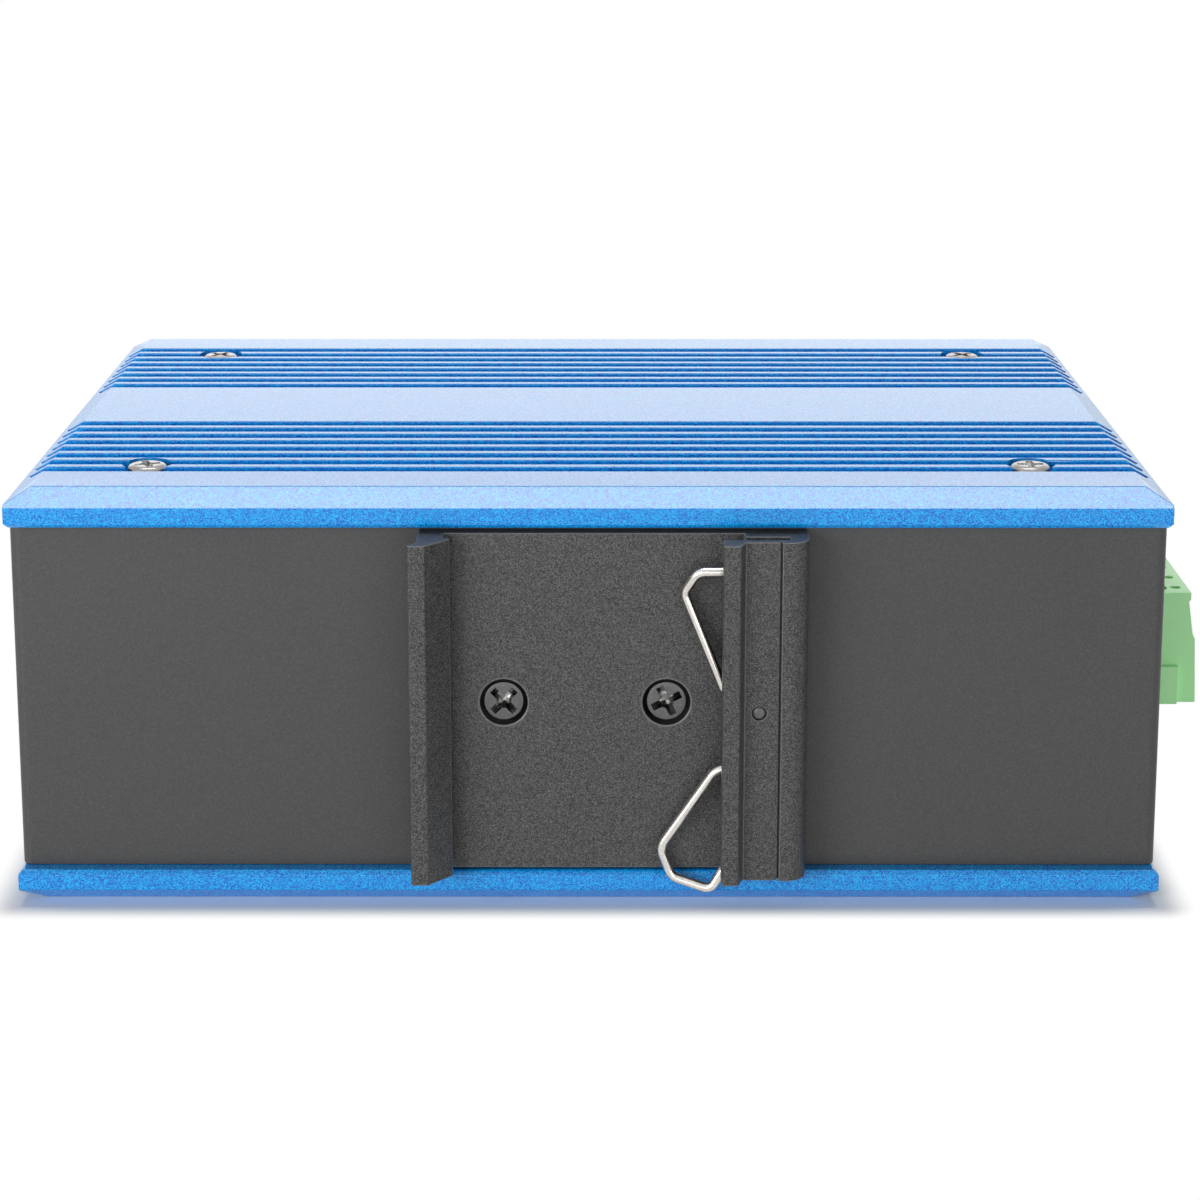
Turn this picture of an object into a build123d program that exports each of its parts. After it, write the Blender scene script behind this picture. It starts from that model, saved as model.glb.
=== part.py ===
from build123d import *
import os

os.makedirs("parts", exist_ok=True)

# DIN rail ethernet switch lying on its side. Sizes are real ones in millimetres. X runs along the
# housing towards its top end in use, Y from the rear face to the front, Z up as it lies. The origin
# is the centre of the underside.

# Heat sink plates
plate_length = 145.0
plate_depth = 105.5
plate_thickness = 4.7
long_bevel_run = 3.2
long_bevel_rise = 2.15
end_bevel_run = 3.1
end_bevel_rise = 1.75
inner_edge_chamfer = 0.55

# Cooling grooves, in one group near the rear edge and one near the front edge
groove_count = 8
groove_width = 2.3
groove_depth = 1.3
groove_pitch = 3.9
groove_margin = 11.4
fin_edge_radius = 0.25

# Folded sheet body
sheet_thickness = 1.0
panel_recess = 2.2
end_inset = 0.2
bend_radius = 0.4
front_flange_length = 10.0
sheet_gap = 0.15

# M3 fasteners, with the thread drawn as a plain shank
shank_diameter = 2.9
thread_bore = 3.0
clearance_hole = 3.4
pan_head_diameter = 5.2
pan_head_height = 1.95
pan_head_edge = 0.5
recess_span = 3.4
recess_width = 0.9
recess_depth = 1.1
flat_head_diameter = 5.0

# Plate screws and the hex pillars between the plates
screw_inset = 15.7
counterbore_diameter = 6.4
counterbore_depth = 2.0
plate_screw_length = 7.5
pillar_across_flats = 5.5
lower_pillar_length = 13.7
pillar_stud_length = 7.0

# Rail clip, an extrusion with its section in X and in the height over its own base face
rail_width = 35.0
rail_centre_x = -0.4
clip_end_gap = 0.5
clip_base_thickness = 2.2
hook_overlap = 0.85
hook_wall = 3.2
hook_flare = 1.0
hook_height = 6.5
hook_front_width = 2.1
hook_nose_height = 3.0
hook_nose_flat = 0.6
hook_corner_radius = 0.4
rail_slot_height = 2.2
lip_overlap = 0.5
lip_height = 6.6
lip_width = 2.1
lip_step_run = 0.65
lip_corner_radius = 0.3
shelf_height = 4.6
shelf_width = 4.25
score_width = 0.25
score_depth = 0.5
rib_height = 4.9
rib_width = 3.45
rib_radius = 2.6
wire_slot_floor = 1.85
wire_slot_ceiling = 3.25
wire_slot_start = 2.8
wire_slot_depth = 5.5
clip_screw_spacing = 20.4
clip_screw_sink = 0.6
clip_screw_length = 6.0
press_nut_diameter = 6.3
press_nut_height = 1.5
press_nut_shank = 4.2

# Wire spring and the pin that its middle goes round
spring_wire = 1.2
spring_pin_offset = 4.6
spring_pin_diameter = 1.8
spring_pin_sink = 0.1
spring_pin_seat = 1.0
spring_pin_fit = 0.02
spring_pin_clearance = 0.1

# The spring's upper loop: how far it reaches out of the slot, and how its corners lie
upper_end_margin = 4.3
upper_loop_reach = 4.7
upper_loop_dip = 1.0
upper_loop_width = 1.7
upper_loop_slant = 2.9

# The spring's middle, bent round the pin, and where it enters and leaves the slot
middle_half_height = 1.8
middle_entry = 0.4
middle_entry_rise = 2.3
middle_exit = 0.8
middle_exit_drop = 8.2
middle_knee = 2.2
middle_knee_drop = 7.2

# The spring's lower loop, which hangs below the clip
lower_loop_reach = 7.6
lower_loop_dip = 1.1
lower_loop_drop = 1.95
lower_loop_knee_rise = 3.3
lower_loop_slant = 1.3
lower_loop_toe = 1.5
lower_loop_heel = 1.2
lower_end_reach = 2.3
lower_end_rise = 6.1

# Main board
board_thickness = 1.6
board_gap = 0.8

# Stacked ethernet jack, with columns along X and two rows one over the other
jack_columns = 4
port_pitch = 13.97
jack_side_margin = 0.7
jack_height = 25.4
jack_depth = 27.0
jack_proud = 0.5
jack_top_gap = 4.1
shield_thickness = 0.25
shield_gap = 0.1
port_width = 11.9
port_height = 7.2
port_depth = 14.5
latch_width = 6.3
latch_height = 2.0
port_web = 1.8
contact_count = 8
contact_pitch = 1.02
contact_width = 0.4
contact_thickness = 0.3
contact_setback = 3.0
contact_foot = 1.2
contact_run = 7.0
contact_lift = 2.0

# Module cages for optical transceivers
cage_count = 2
cage_pitch = 15.2
cage_width = 14.5
cage_height = 9.8
cage_length = 48.7
cage_wall = 0.3
collar_width = 0.25
collar_length = 3.0
cage_connector_width = 12.2
cage_connector_height = 6.0
cage_connector_depth = 8.9
cage_card_slot = 1.2
cage_card_slot_depth = 5.5

# Status lamps
lamp_count = 3
lamp_rows = 2
lamp_pitch = 5.0
lamp_row_pitch = 3.0
lamp_diameter = 2.4
lamp_proud = 0.8
lamp_seat = 1.5
lamp_fit = 0.02
lamp_chamfer = 0.6
lamp_holder_width = 6.0
lamp_holder_depth = 7.0
lamp_holder_margin = 3.0
lamp_holder_gap = 0.5
front_row_gap = 2.2
panel_cut_clearance = 0.25

# Pluggable power terminal: header on the board, plug pushed into it along X
pole_count = 6
pole_pitch = 5.08
terminal_setback = 22.0
header_height = 8.6
header_depth = 12.0
header_wall = 1.0
header_back = 2.8
header_leg_cover = 0.6
header_pin_height = 4.3
header_pin = 1.0
header_pin_length = 8.3
header_leg_length = 3.2
header_opening_clearance = 0.3
plug_gap = 0.2
plug_clearance = 0.2
plug_tongue_length = 9.1
plug_end_wall = 0.3
plug_height = 15.1
plug_rise = 0.1
plug_top_reach = 7.1
plug_waist_reach = 6.85
plug_step_reach = 7.5
plug_shoulder_reach = 7.8
plug_foot_reach = 8.15
plug_lip_height = 1.0
plug_waist_drop = 1.2
plug_step_drop = 5.7
plug_shoulder_drop = 6.3
plug_rib_length = 5.6
plug_rib_height = 5.2
plug_rib_proud = 0.9
plug_cavity_width = 3.9
plug_cavity_height = 4.3
plug_cavity_back = 0.6
plug_screw_reach = 2.5
plug_driver_hole = 3.5
plug_screw_seat = 1.0
plug_test_hole = 1.3
plug_test_reach = 5.45
plug_test_depth = 4.0
clamp_screw_head = 3.2
clamp_screw_head_height = 1.8
clamp_screw_shank = 2.5
clamp_screw_bore = 2.6
clamp_screw_slot = 0.7
clamp_cage_clearance = 0.1
clamp_cage_length = 3.6
clamp_cage_wall = 0.6
fork_thickness = 0.6
fork_width = 2.0
fork_clearance = 0.1
socket_size = 1.6

# Earth screw on the top end
ground_screw_shank = 3.9
ground_screw_head = 7.4
ground_screw_head_height = 2.6
ground_screw_length = 7.0
ground_washer_diameter = 9.0
ground_washer_thickness = 0.8
ground_bore = 4.0
ground_nut_diameter = 8.6
ground_nut_height = 2.0
ground_nut_shank = 5.4
ground_screw_front_gap = 24.0

# Parts on the board
switch_chip_size = 27.0
switch_chip_height = 1.6
switch_chip_x = -12.0
switch_chip_y = -6.0
thermal_pad_thickness = 0.5
thermal_pad_inset = 1.0
heat_block_size = 32.0
transformer_count = 4
transformer_length = 16.5
transformer_height = 6.0
transformer_gap = 2.0
transformer_side_gap = 1.4
capacitor_count = 3
capacitor_diameter = 10.0
capacitor_height = 16.0
capacitor_pitch = 12.5
capacitor_header_gap = 7.3
capacitor_setback = 16.5
capacitor_crimp = 0.5
inductor_size = 12.5
inductor_height = 7.0
inductor_corner = 3.0
inductor_setback = 20.5
power_core_length = 20.0
power_core_width = 22.0
power_core_height = 15.0
power_core_leg = 3.4
power_core_setback = 24.5
power_bobbin_inset = 1.2
power_winding_height = 9.0
relay_length = 15.0
relay_width = 7.5
relay_height = 10.0
relay_setback = 16.3
relay_gap = 1.3
relay_edge = 0.6
control_chip_size = 12.0
control_chip_height = 1.2
control_chip_setback = 18.5

# Levels and planes worked out from the sizes above
body_height = lower_pillar_length + board_thickness + jack_height + jack_top_gap
clip_length = body_height - 2 * clip_end_gap
lower_inner_z = plate_thickness
upper_inner_z = plate_thickness + body_height
middle_z = plate_thickness + body_height / 2
rear_edge_y = -plate_depth / 2
rear_wall_y = rear_edge_y + panel_recess
front_wall_y = plate_depth / 2 - panel_recess
end_wall_x = plate_length / 2 - end_inset
board_bottom = lower_inner_z + lower_pillar_length
board_top = board_bottom + board_thickness
screw_x = plate_length / 2 - screw_inset
screw_y = plate_depth / 2 - screw_inset
screw_places = [(x, y) for x in (-screw_x, screw_x) for y in (-screw_y, screw_y)]
clip_face_y = rear_wall_y - clip_base_thickness
clip_bottom = middle_z - clip_length / 2
clip_top = middle_z + clip_length / 2
clip_screw_places = [rail_centre_x - clip_screw_spacing / 2, rail_centre_x + clip_screw_spacing / 2]
hook_seat_x = rail_centre_x - rail_width / 2
lip_x = rail_centre_x + rail_width / 2 - lip_overlap
spring_pin_x = lip_x + spring_pin_offset
jack_width = jack_columns * port_pitch + 2 * jack_side_margin
cages_width = (cage_count - 1) * cage_pitch + cage_width + 2 * collar_width
front_row_width = lamp_holder_width + jack_width + cages_width + 2 * front_row_gap
lamp_x = front_row_width / 2 - lamp_holder_width / 2
jack_x = front_row_width / 2 - lamp_holder_width - front_row_gap - jack_width / 2
first_cage_x = -front_row_width / 2 + collar_width + cage_width / 2
cage_places = [first_cage_x + i * cage_pitch for i in range(cage_count)]
column_places = [jack_x + (i - (jack_columns - 1) / 2) * port_pitch for i in range(jack_columns)]
front_tip_y = front_wall_y + jack_proud
jack_back_y = front_tip_y - jack_depth
plug_length = pole_count * pole_pitch + 2 * plug_end_wall
terminal_y = rear_edge_y + terminal_setback + plug_length / 2
pole_places = [terminal_y + (i - (pole_count - 1) / 2) * pole_pitch for i in range(pole_count)]
tongue_width = pole_count * pole_pitch - 2 * header_wall
header_length = tongue_width + 2 * plug_clearance + 2 * header_wall
header_mouth_x = end_wall_x
pin_z = board_top + header_pin_height
cavity_floor = (
    pin_z - header_pin / 2 - fork_clearance - fork_thickness - clamp_cage_wall - clamp_cage_clearance
)
cavity_ceiling = cavity_floor + plug_cavity_height
plug_back_x = header_mouth_x + plug_gap
plug_screw_x = plug_back_x + plug_screw_reach
plug_top = board_top + plug_rise + plug_height

# The power parts stand in one row from a rear pillar to the capacitors, with equal gaps
capacitor_x = header_mouth_x - header_depth - capacitor_header_gap - capacitor_diameter / 2
power_core_span = power_core_length + 2 * power_bobbin_inset
power_row = [inductor_size, inductor_size, control_chip_size, power_core_span]
power_row_start = pillar_across_flats - screw_x
power_row_end = capacitor_x - capacitor_diameter / 2
power_row_gap = (power_row_end - power_row_start - sum(power_row)) / (len(power_row) + 1)
power_row_places = [
    power_row_start + sum(power_row[:i]) + width / 2 + (i + 1) * power_row_gap
    for i, width in enumerate(power_row)
]
control_chip_x = power_row_places[2]
power_core_x = power_row_places[3]
capacitor_first_y = rear_wall_y + capacitor_setback
inductor_y = rear_wall_y + inductor_setback
power_core_y = rear_wall_y + power_core_setback
control_chip_y = rear_wall_y + control_chip_setback
relay_x = end_wall_x - relay_setback
relay_y = terminal_y + header_length / 2 + relay_gap + relay_length / 2


def block(x, y, z):
    """A cuboid between two limits on each axis."""
    size = Box(x[1] - x[0], y[1] - y[0], z[1] - z[0])
    return Pos((x[0] + x[1]) / 2, (y[0] + y[1]) / 2, (z[0] + z[1]) / 2) * size


def rod(diameter, low, high):
    """A cylinder about Z between two heights."""
    return Pos(0, 0, (low + high) / 2) * Cylinder(diameter / 2, high - low)


def outline(points):
    """A flat face with straight sides."""
    return make_face(Polyline(*points, close=True))


def prism(face, plane, low, high):
    """A face drawn on a plane and extruded along its normal between two heights."""
    return extrude(plane.offset(low) * face, amount=high - low, dir=plane.z_dir)


def save(name, solids):
    """Write one sub-part, of one solid or a group of separate ones."""
    shape = Compound(children=solids) if isinstance(solids, list) else solids
    export_step(shape, f"parts/{name}.step")


def cross_recess(top, span, width, depth):
    """The cut of a cross screwdriver, straight down from a head's top."""
    arm = block((-span / 2, span / 2), (-width / 2, width / 2), (top - depth, top + 1))
    return arm + Rot(0, 0, 90) * arm


def pan_head_screw(length):
    """A pan head screw about Z, its head standing on z = 0 and its shank below."""
    head = rod(pan_head_diameter, 0, pan_head_height)
    head = chamfer(head.edges().group_by(Axis.Z)[-1], pan_head_edge)
    head -= cross_recess(pan_head_height, recess_span, recess_width, recess_depth)
    return head + rod(shank_diameter, -length, 0)


def flat_head_screw(length):
    """A countersunk screw about Z, the head's flat top at z = 0."""
    cone_height = (flat_head_diameter - shank_diameter) / 2
    cone = Cone(shank_diameter / 2, flat_head_diameter / 2, cone_height)
    screw = Pos(0, 0, -cone_height / 2) * cone + rod(shank_diameter, -length, -cone_height)
    return screw - cross_recess(0, recess_span, recess_width, recess_depth)


def press_nut(body, height, shank, bore):
    """A clinch nut about Z: its shank fills the sheet below z = 0, its body stands above."""
    nut = rod(body, 0, height) + rod(shank, -sheet_thickness, 0)
    return nut - rod(bore, -sheet_thickness - 1, height + 1)


def plate_section():
    """The plate across its depth, with its inner face at 0 and the grooves in the outer face."""
    half = plate_depth / 2
    low = [(-half + inner_edge_chamfer, 0), (-half, inner_edge_chamfer)]
    low += [(-half, plate_thickness - long_bevel_rise), (-half + long_bevel_run, plate_thickness)]
    floor = plate_thickness - groove_depth
    grooves = []
    for i in range(groove_count):
        start = -half + groove_margin + i * groove_pitch
        end = start + groove_width
        grooves += [(start, plate_thickness), (start, floor), (end, floor), (end, plate_thickness)]
    rear_half = low + grooves
    front_half = [(-y, z) for y, z in reversed(rear_half)]
    face = outline(rear_half + front_half)
    widest = half - groove_margin + groove_width / 2
    edges = [v for v in face.vertices() if v.Y > plate_thickness - 0.01 and abs(v.X) < widest]
    return fillet(edges, fin_edge_radius)


def end_cut(run, rise, outer, thickness):
    """The wedge that a bevel takes off a plate's end: outer face above, or inner face below."""
    far = plate_length / 2 + 1
    top = thickness if outer else 0
    drop = -rise if outer else rise
    beyond = drop * (run + 1) / run
    corner = plate_length / 2 - run
    clear = top + (1 if outer else -1)
    face = outline([(corner, top), (far, top + beyond), (far, clear), (corner, clear)])
    wedge = prism(face, Plane.XZ, -plate_depth, plate_depth)
    return wedge


def heat_sink_plate():
    """One plate with its inner face on z = 0 and its grooved face up."""
    half = plate_length / 2
    plate = prism(plate_section(), Plane.YZ, -half, half)
    for wedge in (
        end_cut(end_bevel_run, end_bevel_rise, True, plate_thickness),
        end_cut(inner_edge_chamfer, inner_edge_chamfer, False, plate_thickness),
    ):
        plate -= wedge
        plate -= mirror(wedge, Plane.YZ)
    for x, y in screw_places:
        plate -= Pos(x, y, 0) * rod(clearance_hole, -1, plate_thickness)
        seat = plate_thickness - counterbore_depth
        plate -= Pos(x, y, 0) * rod(counterbore_diameter, seat, plate_thickness + 1)
    return plate


def plate_screws(upward):
    """Four pan head screws seated in the counterbores of one plate."""
    seat = plate_thickness - counterbore_depth
    screw = pan_head_screw(plate_screw_length)
    if upward:
        return [Pos(x, y, upper_inner_z + seat) * screw for x, y in screw_places]
    return [Pos(x, y, lower_inner_z - seat) * Rot(180, 0, 0) * screw for x, y in screw_places]


def board_pillars(low, high, stud):
    """Four hex pillars between two heights, bored through, with a stud below if asked."""
    hexagon = RegularPolygon(pillar_across_flats / 2, 6, major_radius=False)
    pillars = []
    for x, y in screw_places:
        pillar = prism(hexagon, Plane.XY, low, high)
        if stud:
            pillar += rod(shank_diameter, low - pillar_stud_length, low)
            bore_bottom = high - plate_screw_length
            pillar -= rod(thread_bore, bore_bottom, high + 1)
        else:
            pillar -= rod(thread_bore, low - 1, high + 1)
        pillars.append(Pos(x, y, 0) * pillar)
    return pillars


def wrap_cover():
    """Rear wall and both ends as one folded sheet."""
    t = sheet_thickness
    outer = outline(
        [
            (-end_wall_x, front_wall_y),
            (-end_wall_x, rear_wall_y),
            (end_wall_x, rear_wall_y),
            (end_wall_x, front_wall_y),
        ]
    )
    outer = fillet(outer.vertices().group_by(Axis.Y)[0], bend_radius + t)
    inner_x = end_wall_x - t
    inner = outline(
        [
            (-inner_x, front_wall_y + t),
            (-inner_x, rear_wall_y + t),
            (inner_x, rear_wall_y + t),
            (inner_x, front_wall_y + t),
        ]
    )
    inner = fillet(inner.vertices().group_by(Axis.Y)[0], bend_radius)
    cover = prism(outer - inner, Plane.XY, lower_inner_z, upper_inner_z)
    for x in clip_screw_places:
        cover -= Pos(x, rear_wall_y, middle_z) * Rot(90, 0, 0) * rod(press_nut_shank, -2 * t, 2 * t)
    for side, x, z in front_screw_places():
        cover -= Pos(x, front_screw_y(), z) * Rot(0, 90, 0) * rod(clearance_hole, -2 * t, 2 * t)
    cover -= block(
        (end_wall_x - 2 * t, end_wall_x + t),
        (terminal_y - terminal_cut() / 2, terminal_y + terminal_cut() / 2),
        (board_top - header_opening_clearance, board_top + header_height + header_opening_clearance),
    )
    cover -= Pos(end_wall_x, ground_screw_y(), middle_z) * Rot(0, 90, 0) * rod(ground_nut_shank, -2 * t, t)
    return cover


def terminal_cut():
    """Width of the opening for the power header in the top end."""
    return header_length + 2 * header_opening_clearance


def ground_screw_y():
    return front_wall_y - ground_screw_front_gap


def front_screw_y():
    return front_wall_y - front_flange_length / 2


def front_screw_places():
    """Side, X of the end wall's outer face, and Z of each screw that holds the front panel."""
    reach = body_height / 2 - front_flange_length
    return [(side, side * end_wall_x, middle_z + up * reach) for side in (-1, 1) for up in (-1, 1)]


def front_panel():
    """Front wall with a flange behind each end, cut for the jack, the cages and the lamps."""
    t = sheet_thickness
    half = end_wall_x - t - sheet_gap
    back = front_wall_y - front_flange_length
    outer = outline([(-half, back), (-half, front_wall_y), (half, front_wall_y), (half, back)])
    outer = fillet(outer.vertices().group_by(Axis.Y)[-1], bend_radius + t)
    inner_x = half - t
    inner_y = front_wall_y - t
    inner = outline([(-inner_x, back - t), (-inner_x, inner_y), (inner_x, inner_y), (inner_x, back - t)])
    inner = fillet(inner.vertices().group_by(Axis.Y)[-1], bend_radius)
    panel = prism(outer - inner, Plane.XY, lower_inner_z + sheet_gap, upper_inner_z - sheet_gap)
    through = (inner_y - t, front_wall_y + t)
    margin = panel_cut_clearance
    jack = (jack_x - jack_width / 2 - margin, jack_x + jack_width / 2 + margin)
    panel -= block(jack, through, (board_top - margin, board_top + jack_height + margin))
    for x in cage_places:
        half_cage = cage_width / 2 + collar_width + margin
        top = board_top + cage_height + collar_width + margin
        panel -= block((x - half_cage, x + half_cage), through, (board_top - collar_width - margin, top))
    for x, z in lamp_places():
        hole = rod(lamp_diameter + 2 * margin, -2 * t, 2 * t)
        panel -= Pos(x, front_wall_y, z) * Rot(90, 0, 0) * hole
    for side, x, z in front_screw_places():
        panel -= Pos(side * half, front_screw_y(), z) * Rot(0, 90, 0) * rod(thread_bore, -2 * t, 2 * t)
    return panel


def front_panel_screws():
    """Pan head screws through the ends into the front panel's flanges."""
    length = 3 * sheet_thickness + sheet_gap
    screw = pan_head_screw(length)
    return [Pos(x, front_screw_y(), z) * Rot(0, 90 * side, 0) * screw for side, x, z in front_screw_places()]


def clip_point(x, height):
    """A point of the clip's section, by its height over the clip's base face."""
    return (x, clip_face_y - height)


def hook_outline():
    """The hook that goes under the rail's lower edge."""
    wall_x = hook_seat_x - hook_wall
    tip_x = hook_seat_x + hook_overlap
    front_x = wall_x - hook_flare + hook_front_width
    slot_top = rail_slot_height
    face = outline(
        [
            clip_point(wall_x, -clip_base_thickness),
            clip_point(wall_x, hook_height - 2 * hook_flare),
            clip_point(wall_x - hook_flare, hook_height - hook_flare / 2),
            clip_point(wall_x - hook_flare, hook_height),
            clip_point(front_x, hook_height),
            clip_point(tip_x, hook_nose_height),
            clip_point(tip_x, hook_nose_height - hook_nose_flat),
            clip_point(hook_seat_x, slot_top),
            clip_point(hook_seat_x, -clip_base_thickness),
        ]
    )
    corners = [v for v in face.vertices() if abs(v.Y - (clip_face_y - hook_height)) < 0.01]
    return fillet(corners, hook_corner_radius)


def block_outline():
    """The lipped block over the rail's upper edge, with the slot for the spring under the lip."""
    step_x = lip_x + lip_width + lip_step_run
    shelf_end = step_x + shelf_width
    rib_start = shelf_end + score_width
    rib_end = rib_start + rib_width
    slot_start = lip_x + wire_slot_start
    slot_end = slot_start + wire_slot_depth
    face = outline(
        [
            clip_point(slot_start, -clip_base_thickness),
            clip_point(slot_start, wire_slot_floor),
            clip_point(slot_end, wire_slot_floor),
            clip_point(slot_end, wire_slot_ceiling),
            clip_point(lip_x, wire_slot_ceiling),
            clip_point(lip_x, lip_height),
            clip_point(lip_x + lip_width, lip_height),
            clip_point(step_x, shelf_height),
            clip_point(shelf_end, shelf_height),
            clip_point(shelf_end, shelf_height - score_depth),
            clip_point(rib_start, shelf_height - score_depth),
            clip_point(rib_start, rib_height),
            clip_point(rib_end, rib_height),
            clip_point(rib_end, -clip_base_thickness),
        ]
    )
    lip = [v for v in face.vertices() if abs(v.Y - (clip_face_y - lip_height)) < 0.01]
    face = fillet(lip, lip_corner_radius)
    rib = [v for v in face.vertices() if v.X > rib_end - 0.01 and v.Y < clip_face_y]
    return fillet(rib, rib_radius)


def din_clip():
    """The whole extrusion, drilled for its two screws and for the spring's pin."""
    slot_start = lip_x + wire_slot_start
    base = outline(
        [
            clip_point(hook_seat_x, -clip_base_thickness),
            clip_point(hook_seat_x, 0),
            clip_point(slot_start, 0),
            clip_point(slot_start, -clip_base_thickness),
        ]
    )
    clip = prism(hook_outline() + base + block_outline(), Plane.XY, clip_bottom, clip_top)
    for x in clip_screw_places:
        clip -= Pos(x, clip_face_y, middle_z) * Rot(90, 0, 0) * countersink()
    pin_hole = rod(spring_pin_diameter + 2 * spring_pin_fit, spring_pin_bottom(), shelf_height + 1)
    return clip - Pos(spring_pin_x, clip_face_y, middle_z) * Rot(90, 0, 0) * pin_hole


def countersink():
    """The cut for a countersunk screw from the base face at z = 0, a little deeper than its head."""
    mouth = flat_head_diameter + 2 * clip_screw_sink
    depth = (mouth - clearance_hole) / 2
    cone = Pos(0, 0, -depth / 2) * Cone(clearance_hole / 2, mouth / 2, depth)
    return cone + rod(clearance_hole, -clip_base_thickness - 1, 0)


def spring_pin_bottom():
    """Height over the base face of the blind end of the spring pin's hole."""
    return wire_slot_floor - spring_pin_seat


def spring_pin():
    pin = rod(spring_pin_diameter, spring_pin_bottom(), shelf_height - spring_pin_sink)
    return Pos(spring_pin_x, clip_face_y, middle_z) * Rot(90, 0, 0) * pin


def din_clip_screws():
    screw = Rot(90, 0, 0) * flat_head_screw(clip_screw_length)
    return [Pos(x, clip_face_y + clip_screw_sink, middle_z) * screw for x in clip_screw_places]


def rear_press_nuts():
    """Clinch nuts behind the rear wall for the clip's screws."""
    nut = press_nut(press_nut_diameter, press_nut_height, press_nut_shank, thread_bore)
    inside = rear_wall_y + sheet_thickness
    return [Pos(x, inside, middle_z) * Rot(-90, 0, 0) * nut for x in clip_screw_places]


def spring_route():
    """Corners of the wire's line, each with the radius of its bend, from the upper end down."""
    level = (wire_slot_floor + wire_slot_ceiling) / 2
    turn_x = spring_pin_x + spring_pin_diameter / 2 + spring_wire / 2 + spring_pin_clearance
    upper_z = clip_top - upper_end_margin
    upper_x = lip_x - upper_loop_reach
    low_z = clip_bottom - lower_loop_drop
    low_x = lip_x - lower_loop_reach
    return [
        (turn_x, level, upper_z, None),
        (upper_x + upper_loop_width, level, upper_z, 1.6),
        (upper_x, level - upper_loop_dip, upper_z - upper_loop_slant, 1.4),
        (lip_x + middle_entry, level, middle_z + middle_entry_rise, 1.2),
        (turn_x, level, middle_z + middle_half_height, 1.3),
        (turn_x, level, middle_z - middle_half_height, 1.3),
        (lip_x + middle_knee, level, middle_z - middle_knee_drop, 1.4),
        (lip_x - middle_exit, level, middle_z - middle_exit_drop, 2.0),
        (low_x, level - lower_loop_dip, clip_bottom + lower_loop_knee_rise, 2.2),
        (low_x + lower_loop_toe, level - lower_loop_dip, low_z + lower_loop_slant, 1.8),
        (lip_x - lower_loop_heel, level, low_z, 1.2),
        (lip_x + lower_end_reach, level, low_z + lower_end_rise, None),
    ]


def din_clip_spring():
    """One round wire swept along the filleted route."""
    route = spring_route()
    corners = [(x, clip_face_y - height, z) for x, height, z, radius in route]
    path = FilletPolyline(*corners, radius=[point[3] for point in route[1:-1]])
    section = Plane(origin=path @ 0, z_dir=path % 0) * Circle(spring_wire / 2)
    return sweep(section, path=path)


def main_board():
    half_x = end_wall_x - 2 * sheet_thickness - sheet_gap - board_gap
    low_y = rear_wall_y + sheet_thickness + board_gap
    high_y = front_wall_y - sheet_thickness - board_gap
    board = block((-half_x, half_x), (low_y, high_y), (board_bottom, board_top))
    for x, y in screw_places:
        board -= Pos(x, y, 0) * rod(clearance_hole, board_bottom - 1, board_top + 1)
    for y in pole_places:
        x = header_leg_x()
        board -= block(leg_limits(x), leg_limits(y), (board_bottom - 1, board_top + 1))
    return board


def leg_limits(centre):
    """Limits of the board's hole round one leg of a header pin."""
    half = header_pin / 2 + fork_clearance
    return (centre - half, centre + half)


def port_levels():
    """For each row of ports: low and high of the plug space, and low and high of the latch slot."""
    stack = 2 * (port_height + latch_height) + port_web
    bottom = board_top + (jack_height - stack) / 2
    lower = bottom + latch_height
    upper = lower + port_height + port_web
    return [
        ((lower, lower + port_height), (bottom, lower)),
        ((upper, upper + port_height), (upper + port_height, upper + port_height + latch_height)),
    ]


def jack_modules():
    """One moulded module for each column, with two plug spaces opening to the front."""
    front = front_tip_y - shield_thickness - shield_gap
    back = jack_back_y + shield_thickness + shield_gap
    top = board_top + jack_height - shield_thickness - shield_gap
    half = port_pitch / 2 - shield_gap
    modules = []
    for x in column_places:
        module = block((x - half, x + half), (back, front), (board_top, top))
        for plug, latch in port_levels():
            deep = (front - port_depth, front + 1)
            module -= block((x - port_width / 2, x + port_width / 2), deep, plug)
            module -= block((x - latch_width / 2, x + latch_width / 2), deep, latch)
        modules.append(module)
    return modules


def jack_shield():
    """Thin sheet round the modules, open below, with a window for each port."""
    low_x = jack_x - jack_width / 2
    high_x = jack_x + jack_width / 2
    t = shield_thickness
    top = board_top + jack_height
    shield = block((low_x, high_x), (jack_back_y, front_tip_y), (board_top, top))
    inside = (jack_back_y + t, front_tip_y - t)
    shield -= block((low_x + t, high_x - t), inside, (board_top - 1, top - t))
    for x in column_places:
        for plug, latch in port_levels():
            window = (min(plug[0], latch[0]), max(plug[1], latch[1]))
            half = port_width / 2
            shield -= block((x - half, x + half), (front_tip_y - 2 * t, front_tip_y + 1), window)
    return shield


def jack_contacts():
    """Eight sprung contact strips in each port, on the wall across from the latch slot."""
    front = front_tip_y - shield_thickness - shield_gap - contact_setback
    contacts = []
    for row, (plug, latch) in enumerate(port_levels()):
        wall, lift = (plug[1], -contact_lift) if row == 0 else (plug[0], contact_lift)
        skin = contact_thickness if row == 1 else -contact_thickness
        face = outline(
            [
                (front, wall),
                (front - contact_foot, wall),
                (front - contact_run, wall + lift),
                (front - contact_run, wall + lift + skin),
                (front - contact_foot / 2, wall + skin),
                (front, wall + skin),
            ]
        )
        for x in column_places:
            for i in range(contact_count):
                centre = x + (i - (contact_count - 1) / 2) * contact_pitch
                low = centre - contact_width / 2
                contacts.append(prism(face, Plane.YZ, low, low + contact_width))
    return contacts


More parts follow.
